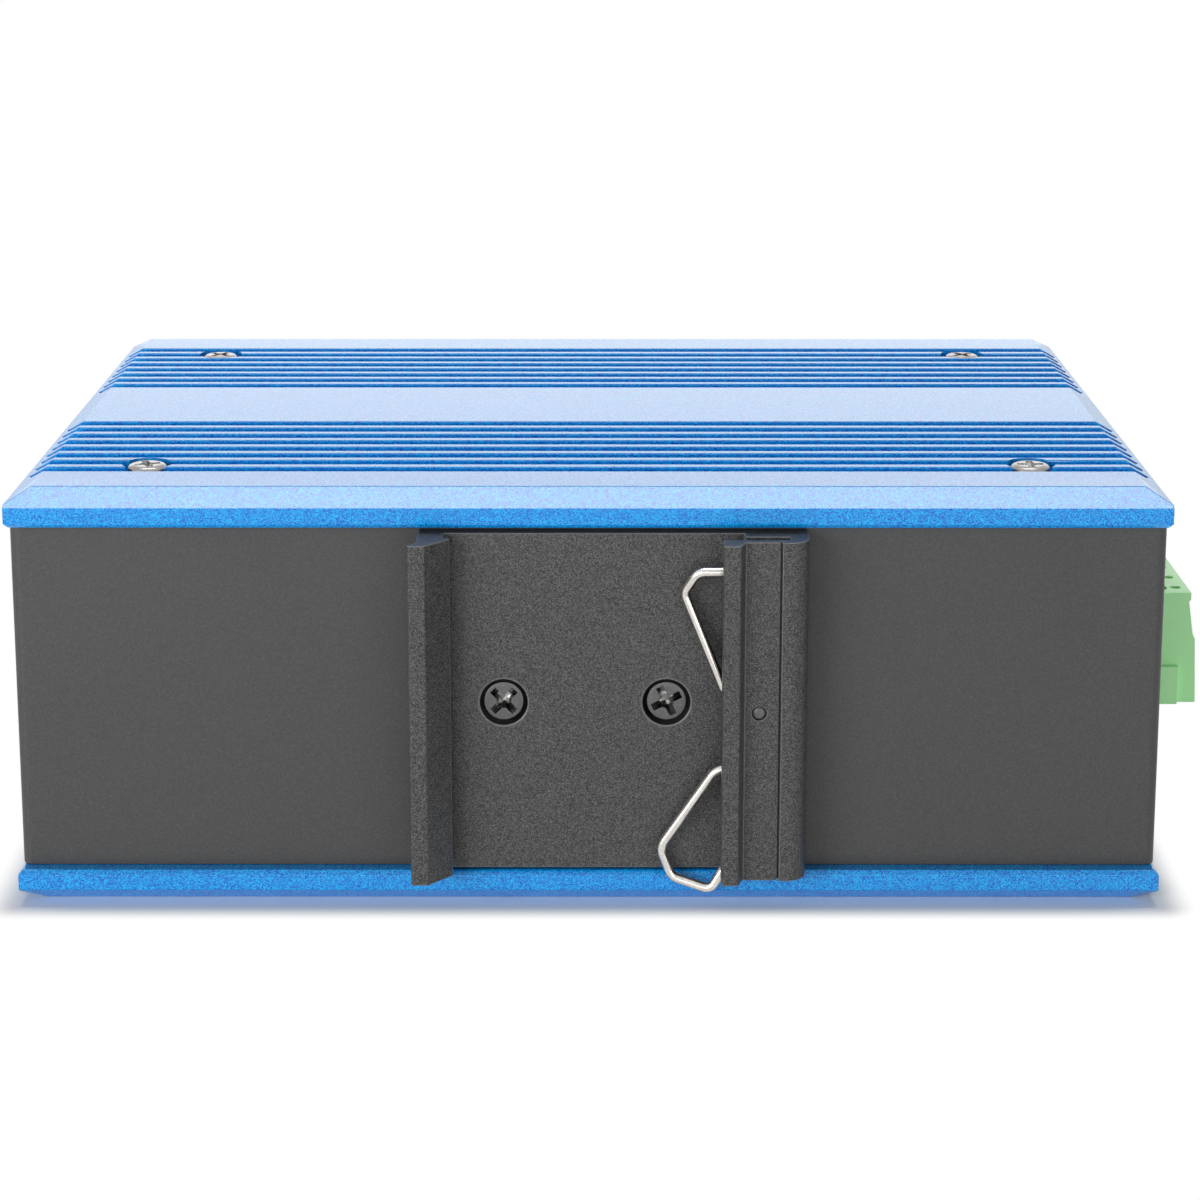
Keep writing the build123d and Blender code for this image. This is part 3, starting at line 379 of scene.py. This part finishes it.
def set_of(pattern, name, places):
    """Copies of one pattern in one piece. A place is a point, a turn about its own axis and a tilt."""
    copies = []
    for point, turn, tilt in places:
        one = pattern.copy()
        one.data = pattern.data.copy()
        bpy.context.scene.collection.objects.link(one)
        only(one)
        one.rotation_euler = (0, 0, turn)
        bpy.ops.object.transform_apply(rotation=True)
        one.rotation_euler = tilt
        one.location = point
        bpy.ops.object.transform_apply(location=True, rotation=True)
        copies.append(one)
    only(copies[0])
    for one in copies:
        one.select_set(True)
    if len(copies) > 1:
        bpy.ops.object.join()
    copies[0].name = name
    return copies[0]


nickel = surface(
    "nickel plating",
    main=(0.30, 0.29, 0.28),
    fleck=(0.56, 0.55, 0.53),
    fleck_size=0.3 * mm,
    sharpness=4.0,
    strength=0.4,
    metal=1.0,
    rough=(0.24, 0.34),
    grain=0.3 * mm,
    depth=0.004 * mm,
)

recess_metal = surface(
    "driven recess",
    main=(0.14, 0.14, 0.14),
    fleck=(0.60, 0.59, 0.57),
    fleck_size=0.5 * mm,
    sharpness=3.0,
    strength=0.8,
    metal=1.0,
    rough=(0.12, 0.22),
    grain=0.3 * mm,
    depth=0.006 * mm,
)

pan_head_height = 1.95 * mm
plate_screw_length = 7.5 * mm
screw_shank = 2.9 * mm
plate_screw = pan_screw(
    pan_head_width, pan_head_height, screw_shank, plate_screw_length, nickel, recess_metal
)
lower_seat = lower_screws_low.z + pan_head_height
lower_screw_places = [
    ((x * screw_side, y * screw_back, lower_seat), turn, (math.pi, 0, 0))
    for x, y, turn in ((-1, -1, 0.5), (-1, 1, 1.1), (1, -1, 0.1), (1, 1, 0.8))
]
lower_screws = set_of(plate_screw, "lower_screws", lower_screw_places)
fit(lower_screws, "housing", "nickel_steel", "lower_plate_screws")


# Heat path of the switch chip
# A milled aluminium block on the lower plate, a soft grey pad on it, and the chip under the board
# that presses on the pad.

def paint(material, *nodes):
    """Gives parts that keep their own shape their finish."""
    for node in nodes:
        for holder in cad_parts[node].material_slots:
            holder.material = material


bare_aluminium = surface(
    "milled aluminium",
    main=(0.78, 0.79, 0.80),
    fleck=(0.90, 0.90, 0.91),
    fleck_size=0.4 * mm,
    sharpness=2.0,
    strength=0.4,
    metal=1.0,
    rough=(0.28, 0.40),
    grain=0.2 * mm,
    depth=0.005 * mm,
)
grey_pad = surface(
    "gap pad",
    main=(0.22, 0.25, 0.30),
    fleck=(0.32, 0.35, 0.40),
    fleck_size=0.2 * mm,
    sharpness=2.0,
    strength=0.5,
    metal=0.0,
    rough=(0.75, 0.9),
    grain=0.3 * mm,
    depth=0.03 * mm,
)
black_plastic = surface(
    "black moulded plastic",
    main=(0.012, 0.012, 0.013),
    fleck=(0.035, 0.035, 0.037),
    fleck_size=0.25 * mm,
    sharpness=3.0,
    strength=0.5,
    metal=0.0,
    rough=(0.42, 0.55),
    grain=0.25 * mm,
    depth=0.012 * mm,
)
paint(bare_aluminium, "heat_transfer_block")
paint(grey_pad, "thermal_pad")
paint(black_plastic, "switch_chip")


# Board pillars
# Turned brass hex pillars. The upper ones have a stud that goes through the board into the lower.

brass = surface(
    "turned brass",
    main=(0.60, 0.43, 0.16),
    fleck=(0.80, 0.62, 0.30),
    fleck_size=0.3 * mm,
    sharpness=3.0,
    strength=0.4,
    metal=1.0,
    rough=(0.22, 0.34),
    grain=0.3 * mm,
    depth=0.004 * mm,
)
paint(brass, "lower_board_pillars", "upper_board_pillars")


# Main board and the parts on it
# A glass fibre board with green solder mask. On it stand the power parts beside the header, the
# port transformers behind the jack, and the relay.

board_mask = surface(
    "green solder mask",
    main=(0.008, 0.085, 0.035),
    fleck=(0.020, 0.160, 0.070),
    fleck_size=0.9 * mm,
    sharpness=2.0,
    strength=0.5,
    metal=0.0,
    rough=(0.25, 0.35),
    grain=0.5 * mm,
    depth=0.02 * mm,
)
ferrite = surface(
    "sintered ferrite",
    main=(0.030, 0.030, 0.032),
    fleck=(0.090, 0.090, 0.095),
    fleck_size=0.2 * mm,
    sharpness=3.0,
    strength=0.5,
    metal=0.3,
    rough=(0.5, 0.65),
    grain=0.2 * mm,
    depth=0.01 * mm,
)
amber_tape = surface(
    "amber winding tape",
    main=(0.55, 0.30, 0.04),
    fleck=(0.70, 0.45, 0.10),
    fleck_size=1.2 * mm,
    sharpness=2.0,
    strength=0.5,
    metal=0.0,
    rough=(0.25, 0.38),
    grain=0.6 * mm,
    depth=0.03 * mm,
)
paint(board_mask, "main_board")
paint(black_plastic, "port_transformers", "alarm_relay", "power_control_chip")
paint(bare_aluminium, "input_capacitors")
paint(ferrite, "power_inductors", "power_transformer_core")
paint(amber_tape, "power_transformer_winding")


# Stacked jack
# Black moulded modules in one bent sheet shield, with sprung gold plated contacts.

gold = surface(
    "gold plating",
    main=(0.85, 0.58, 0.20),
    fleck=(0.95, 0.75, 0.40),
    fleck_size=0.2 * mm,
    sharpness=3.0,
    strength=0.4,
    metal=1.0,
    rough=(0.18, 0.26),
    grain=0.2 * mm,
    depth=0.002 * mm,
)
paint(black_plastic, "jack_modules")
paint(gold, "jack_contacts")
paint(nickel, "jack_shield")


# Module cages
# Two folded sheet cages for transceiver modules, each with a card connector inside.

paint(nickel, "sfp_cages")
paint(black_plastic, "sfp_connectors")


# Status lamps
# Domed lamps in a black holder behind the front panel.

lamp_lens = surface(
    "frosted lamp lens",
    main=(0.30, 0.70, 0.30),
    fleck=(0.50, 0.85, 0.50),
    fleck_size=0.4 * mm,
    sharpness=2.0,
    strength=0.4,
    metal=0.0,
    rough=(0.18, 0.28),
    grain=0.4 * mm,
    depth=0.005 * mm,
)
paint(black_plastic, "led_holder")
paint(lamp_lens, "status_leds")


# Power header
# The fixed half of the terminal, a green moulded tray with square tinned pins through the board.

green_plastic = surface(
    "green terminal plastic",
    main=(0.470, 0.980, 0.440),
    fleck=(0.520, 0.990, 0.490),
    fleck_size=0.5 * mm,
    sharpness=2.0,
    strength=0.4,
    metal=0.0,
    rough=(0.32, 0.44),
    grain=0.3 * mm,
    depth=0.012 * mm,
)
tin = surface(
    "tin plating",
    main=(0.72, 0.72, 0.70),
    fleck=(0.85, 0.85, 0.84),
    fleck_size=0.3 * mm,
    sharpness=2.0,
    strength=0.4,
    metal=1.0,
    rough=(0.30, 0.42),
    grain=0.3 * mm,
    depth=0.004 * mm,
)
paint(green_plastic, "power_header")
paint(tin, "power_header_pins")


# Wrap cover
# One sheet of steel folded round the rear and both ends, black powder coat on it, with clinch nuts
# pressed in for the clip's and the earth screw.

powder_coat = surface(
    "black powder coat",
    main=(0.032, 0.032, 0.032),
    fleck=(0.075, 0.075, 0.075),
    fleck_size=0.14 * mm,
    sharpness=2.0,
    strength=0.5,
    metal=0.0,
    rough=(0.46, 0.56),
    grain=0.18 * mm,
    depth=0.014 * mm,
    waves=0.25,
)
sheet_edge = 0.15 * mm
cover = soften_edges(take_shape("wrap_cover", "cover", powder_coat), sheet_edge)
fit(cover, "housing", "black_powder_coat", "wrap_cover")
paint(nickel, "rear_press_nuts", "ground_press_nut")


# Front panel
# A second black sheet, with flanges inside the ends and openings for the jack, cages and lamps.
# Four nickel plated screws hold its flanges.

panel = soften_edges(take_shape("front_panel", "panel", powder_coat), sheet_edge)
fit(panel, "housing", "black_powder_coat", "front_panel")

panel_screws_low, panel_screws_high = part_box("front_panel_screws")
panel_screw_length = 3.15 * mm
panel_screw = pan_screw(
    pan_head_width, pan_head_height, screw_shank, panel_screw_length, nickel, recess_metal
)
panel_screw_y = (panel_screws_low.y + panel_screws_high.y) / 2
panel_screw_x = panel_screws_high.x - pan_head_height
panel_screw_z = [panel_screws_low.z + pan_head_width / 2, panel_screws_high.z - pan_head_width / 2]
panel_screw_places = [
    ((side * panel_screw_x, panel_screw_y, z), 0.4 * (i + 1) * side, (0, side * math.pi / 2, 0))
    for side in (-1, 1)
    for i, z in enumerate(panel_screw_z)
]
panel_screws = set_of(panel_screw, "panel_screws", panel_screw_places)
fit(panel_screws, "housing", "nickel_steel", "front_panel_screws")
bpy.data.objects.remove(panel_screw)


# Rail clip
# An aluminium extrusion, cut to the housing's height and anodised black: a hook on the left and a
# lipped block on the right, with a slot for the spring.

clip_finish = surface(
    "black anodised extrusion",
    main=(0.010, 0.010, 0.010),
    fleck=(0.135, 0.135, 0.135),
    fleck_size=0.10 * mm,
    sharpness=1.5,
    strength=1.0,
    metal=0.0,
    rough=(0.36, 0.46),
    grain=0.13 * mm,
    depth=0.010 * mm,
    waves=0.2,
)
clip_shader = clip_finish.node_tree.nodes["Principled BSDF"]
clip_shader.inputs["IOR"].default_value = 1.38
# Painted highlight: the clip's rounded edges get this lighter colour in place of the light that their
# small radius catches.
painted_edge_highlight = surface(
    "edge of black anodising",
    main=(0.090, 0.090, 0.090),
    fleck=(0.200, 0.200, 0.200),
    fleck_size=0.15 * mm,
    sharpness=2.0,
    strength=0.6,
    metal=0.0,
    rough=(0.36, 0.46),
    grain=0.17 * mm,
    depth=0.010 * mm,
)
# Painted shade: the countersinks round the clip screws are turned and glossier, and their colour is
# darkened nearly to black for the shade in the gap round the screw heads.
countersink_painted_shade = surface(
    "turned countersink",
    main=(0.002, 0.002, 0.002),
    fleck=(0.010, 0.010, 0.010),
    fleck_size=0.15 * mm,
    sharpness=2.0,
    strength=0.5,
    metal=0.0,
    rough=(0.20, 0.30),
    grain=0.17 * mm,
    depth=0.004 * mm,
)
countersink_shade_shader = countersink_painted_shade.node_tree.nodes["Principled BSDF"]
countersink_shade_shader.inputs["IOR"].default_value = 1.2
clip_screws_low, clip_screws_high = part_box("din_clip_screws")
flat_head_width = clip_screws_high.z - clip_screws_low.z
clip_screw_z = (clip_screws_low.z + clip_screws_high.z) / 2
clip_screw_x = [clip_screws_low.x + flat_head_width / 2, clip_screws_high.x - flat_head_width / 2]
countersink_reach = 3.15 * mm
clip = take_shape("din_clip", "rail_clip", clip_finish, painted_edge_highlight, countersink_painted_shade)
clip_base_thickness = 2.2 * mm
below_face = 0.1 * mm
facing_rear = 0.95
clip_edge = 0.13 * mm
clip_face_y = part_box("din_clip")[1].y - clip_base_thickness
# Faces of the countersinks round the clip screws take the third finish, darkened as painted shade.
for face in clip.data.polygons:
    from_screw = min(math.hypot(face.center.x - x, face.center.z - clip_screw_z) for x in clip_screw_x)
    sunk = face.center.y > clip_face_y + below_face and abs(face.normal.y) < facing_rear
    if from_screw < countersink_reach and sunk:
        face.material_index = 2
# The rounded edges of the clip take the lighter second finish, a painted highlight.
soften_edges(clip, clip_edge, edge_highlight_slot=1)
fit(clip, "housing", "black_anodised_clip", "din_clip")


# Clip screws
# Blackened countersunk M3 screws with a cross recess, sunk a little below the clip's face.

rim_round = 0.12 * mm
flat_recess_depth = 1.6 * mm


def flat_screw(head_diameter, shank_diameter, length, finish, recess_finish):
    """A countersunk screw, its flat top at the origin."""
    cone = (head_diameter - shank_diameter) / 2
    bpy.ops.object.select_all(action="DESELECT")
    bpy.ops.mesh.primitive_cone_add(
        vertices=48,
        radius1=shank_diameter / 2,
        radius2=head_diameter / 2,
        depth=cone,
        location=(0, 0, -cone / 2),
    )
    screw = bpy.context.object
    screw.data.materials.append(finish)
    bpy.ops.object.transform_apply(location=True)
    pick_faces(screw, faces_down)
    bpy.ops.mesh.extrude_region_move(TRANSFORM_OT_translate={"value": (0, 0, cone - length)})
    pick_faces(screw, faces_up)
    bpy.ops.mesh.bevel(offset=rim_round, segments=2)
    bpy.ops.object.mode_set(mode="OBJECT")
    span, width = 0.82 * head_diameter, 0.20 * head_diameter
    cut_cross(screw, 0, span, width, flat_recess_depth, recess_finish)
    only(screw)
    bpy.ops.object.shade_smooth_by_angle(angle=screw_smooth_turn)
    return screw


blackened_steel = surface(
    "blackened steel",
    main=(0.080, 0.080, 0.081),
    fleck=(0.170, 0.170, 0.172),
    fleck_size=0.13 * mm,
    sharpness=3.0,
    strength=0.6,
    metal=0.0,
    rough=(0.26, 0.38),
    grain=0.15 * mm,
    depth=0.006 * mm,
)
clip_screw_length = clip_screws_high.y - clip_screws_low.y
clip_screw = flat_screw(flat_head_width, screw_shank, clip_screw_length, blackened_steel, recess_metal)
clip_screw_places = [
    ((x, clip_screws_low.y, clip_screw_z), math.radians(turn), (math.pi / 2, 0, 0))
    for x, turn in zip(clip_screw_x, (45, 26))
]
clip_screws = set_of(clip_screw, "clip_screws", clip_screw_places)
fit(clip_screws, "housing", "blackened_screw", "din_clip_screws")
bpy.data.objects.remove(clip_screw)


# Clip spring and its pin
# One hard drawn stainless wire with a loop at each end, its middle bent round a blackened pin in
# the block.

stainless = surface(
    "stainless wire",
    main=(0.62, 0.59, 0.55),
    fleck=(0.90, 0.88, 0.85),
    fleck_size=0.25 * mm,
    sharpness=3.0,
    strength=0.4,
    metal=1.0,
    rough=(0.16, 0.26),
    grain=0.2 * mm,
    depth=0.003 * mm,
)
paint(stainless, "din_clip_spring")

pin_low, pin_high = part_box("din_clip_spring_pin")
pin_width = pin_high.x - pin_low.x
pin_length = pin_high.y - pin_low.y
bpy.ops.object.select_all(action="DESELECT")
bpy.ops.mesh.primitive_cylinder_add(vertices=32, radius=pin_width / 2, depth=pin_length)
spring_pin = bpy.context.object
spring_pin.name = "spring_pin"
spring_pin.data.materials.append(blackened_steel)
pick_faces(spring_pin, lambda normal: faces_up(normal) or faces_down(normal))
bpy.ops.mesh.bevel(offset=0.3 * pin_width, segments=4, profile=0.5)
bpy.ops.object.mode_set(mode="OBJECT")
bpy.ops.object.shade_smooth_by_angle(angle=math.radians(40))
spring_pin.rotation_euler = (math.pi / 2, 0, 0)
spring_pin.location = (pin_low + pin_high) / 2
bpy.ops.object.transform_apply(location=True, rotation=True)
fit(spring_pin, "housing", "blackened_screw", "din_clip_spring_pin")


# Upper heat sink plate and its screws
# The same plate as the lower one, with its grooves up.

upper_plate = take_shape("upper_heat_sink_plate", "upper_plate", blue_anodised)
soften_edges(upper_plate, plate_edge, keep_from=screw_wells, reach=well_reach)
fit(upper_plate, "housing", "blue_anodised_plate", "upper_heat_sink_plate")

upper_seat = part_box("upper_plate_screws")[1].z - pan_head_height
upper_screw_places = [
    ((x * screw_side, y * screw_back, upper_seat), turn, (0, 0, 0))
    for x, y, turn in ((-1, -1, 0.35), (-1, 1, 0.9), (1, -1, 0.0), (1, 1, 0.6))
]
upper_screws = set_of(plate_screw, "upper_screws", upper_screw_places)
fit(upper_screws, "housing", "nickel_steel", "upper_plate_screws")
bpy.data.objects.remove(plate_screw)


# Power plug
# The loose half of the terminal: green plastic over tinned cages, clamp screws and contact bars.

plug_edge = 0.12 * mm
plug = soften_edges(take_shape("power_plug_housing", "power_plug", green_plastic), plug_edge)
fit(plug, "terminal_plug", "green_terminal", "power_plug_housing")
paint(tin, "power_plug_clamp_screws", "power_plug_clamp_cages", "power_plug_contacts")


# Earth screw
# A larger nickel plated screw with a washer on the top end.

paint(nickel, "ground_screw", "ground_washer")


# Stage
# A white table that stays white away from the switch, and keeps its soft shadow near it.

def white_rays(nodes, link):
    """One for the rays that have to find white: seen by the camera, in gloss or through a lens."""
    rays = nodes.new("ShaderNodeLightPath")
    seen = nodes.new("ShaderNodeMath")
    seen.operation = "MAXIMUM"
    seen_through = nodes.new("ShaderNodeMath")
    seen_through.operation = "MAXIMUM"
    link(rays.outputs["Is Camera Ray"], seen.inputs[0])
    link(rays.outputs["Is Glossy Ray"], seen.inputs[1])
    link(seen.outputs["Value"], seen_through.inputs[0])
    link(rays.outputs["Is Transmission Ray"], seen_through.inputs[1])
    return seen_through.outputs["Value"]


table_gap = 0.02 * mm
shadow_reach = 5 * mm
plate_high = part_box("upper_heat_sink_plate")[1]
bpy.ops.object.select_all(action="DESELECT")
bpy.ops.mesh.primitive_plane_add(size=12, location=(0, 0, -table_gap))
table = bpy.context.object
table.name = "table"
table_finish = bpy.data.materials.new("white table")
table_finish.use_nodes = True
nodes, link = table_finish.node_tree.nodes, table_finish.node_tree.links.new
nodes.clear()
out = nodes.new("ShaderNodeOutputMaterial")
lit = nodes.new("ShaderNodeBsdfDiffuse")
lit.inputs["Color"].default_value = (0.96, 0.96, 0.96, 1)
white = nodes.new("ShaderNodeEmission")
white.inputs["Color"].default_value = (1, 1, 1, 1)
place = nodes.new("ShaderNodeTexCoord")
mirrored = nodes.new("ShaderNodeVectorMath")
mirrored.operation = "ABSOLUTE"
past = nodes.new("ShaderNodeVectorMath")
past.operation = "SUBTRACT"
past.inputs[1].default_value = (plate_high.x, plate_high.y, 0)
outside = nodes.new("ShaderNodeVectorMath")
outside.operation = "MAXIMUM"
outside.inputs[1].default_value = (0, 0, 0)
reach = nodes.new("ShaderNodeVectorMath")
reach.operation = "LENGTH"
away = nodes.new("ShaderNodeMapRange")
away.interpolation_type = "SMOOTHSTEP"
away.inputs["From Min"].default_value = 0.0
away.inputs["From Max"].default_value = shadow_reach
share = nodes.new("ShaderNodeMath")
share.operation = "MULTIPLY"
mix = nodes.new("ShaderNodeMixShader")
link(place.outputs["Object"], mirrored.inputs[0])
link(mirrored.outputs["Vector"], past.inputs[0])
link(past.outputs["Vector"], outside.inputs[0])
link(outside.outputs["Vector"], reach.inputs[0])
link(reach.outputs["Value"], away.inputs["Value"])
link(white_rays(nodes, link), share.inputs[0])
link(away.outputs["Result"], share.inputs[1])
link(share.outputs["Value"], mix.inputs["Fac"])
link(lit.outputs["BSDF"], mix.inputs[1])
link(white.outputs["Emission"], mix.inputs[2])
link(mix.outputs["Shader"], out.inputs["Surface"])
table.data.materials.append(table_finish)

world = bpy.data.worlds.new("white room")
bpy.context.scene.world = world
world.use_nodes = True
nodes, link = world.node_tree.nodes, world.node_tree.links.new
nodes.clear()
out = nodes.new("ShaderNodeOutputWorld")
room = nodes.new("ShaderNodeBackground")
room.inputs["Color"].default_value = (1, 1, 1, 1)
room.inputs["Strength"].default_value = 0.20
backdrop = nodes.new("ShaderNodeBackground")
backdrop.inputs["Color"].default_value = (1, 1, 1, 1)
mix = nodes.new("ShaderNodeMixShader")
link(white_rays(nodes, link), mix.inputs["Fac"])
link(room.outputs["Background"], mix.inputs[1])
link(backdrop.outputs["Background"], mix.inputs[2])
link(mix.outputs["Shader"], out.inputs["Surface"])


# Lamps
# Soft boxes: a strip above, one low behind that skims the plate, two in front, and a low strip
# in front of the rear face.

def soft_box(name, place, aim, width, height, radiance):
    """A rectangular lamp that faces a point, with a given brightness of its face."""
    light = bpy.data.lights.new(name, "AREA")
    light.shape = "RECTANGLE"
    light.size = width
    light.size_y = height
    light.energy = radiance * math.pi * width * height
    lamp = bpy.data.objects.new(name, light)
    bpy.context.scene.collection.objects.link(lamp)
    lamp.location = place
    lamp.rotation_euler = (Vector(aim) - Vector(place)).to_track_quat("-Z", "Y").to_euler()
    lamp.visible_camera = False


soft_box("above", (0.0, 0.075, 0.90), (0, 0, 0), 0.60, 0.10, 14.0)
soft_box("behind", (0.0, 0.90, 0.24), (0, 0, 0.05), 1.40, 0.30, 1.0)
soft_box("front left", (-0.55, -0.70, 0.22), (0, 0, 0.03), 0.50, 0.35, 8.0)
soft_box("front right", (0.42, -0.75, 0.20), (0, 0, 0.03), 0.40, 0.30, 1.2)
soft_box("front low", (0.0, -0.45, 0.035), (0, -0.05, 0.03), 0.90, 0.07, 2.4)


# Camera
# In front of the rear face and above it, looking down at the switch.

down_degrees = 12.23
turn_degrees = 0.07
camera = bpy.data.objects.new("camera", bpy.data.cameras.new("camera"))
bpy.context.scene.collection.objects.link(camera)
camera.location = (1.9 * mm, -405.6 * mm, 139.8 * mm)
camera.rotation_euler = (math.radians(90 - down_degrees), 0, math.radians(turn_degrees))
camera.data.lens = 88.22
camera.data.sensor_width = 36
camera.data.shift_y = -0.15
bpy.context.scene.camera = camera
bpy.context.scene.view_settings.view_transform = "Standard"
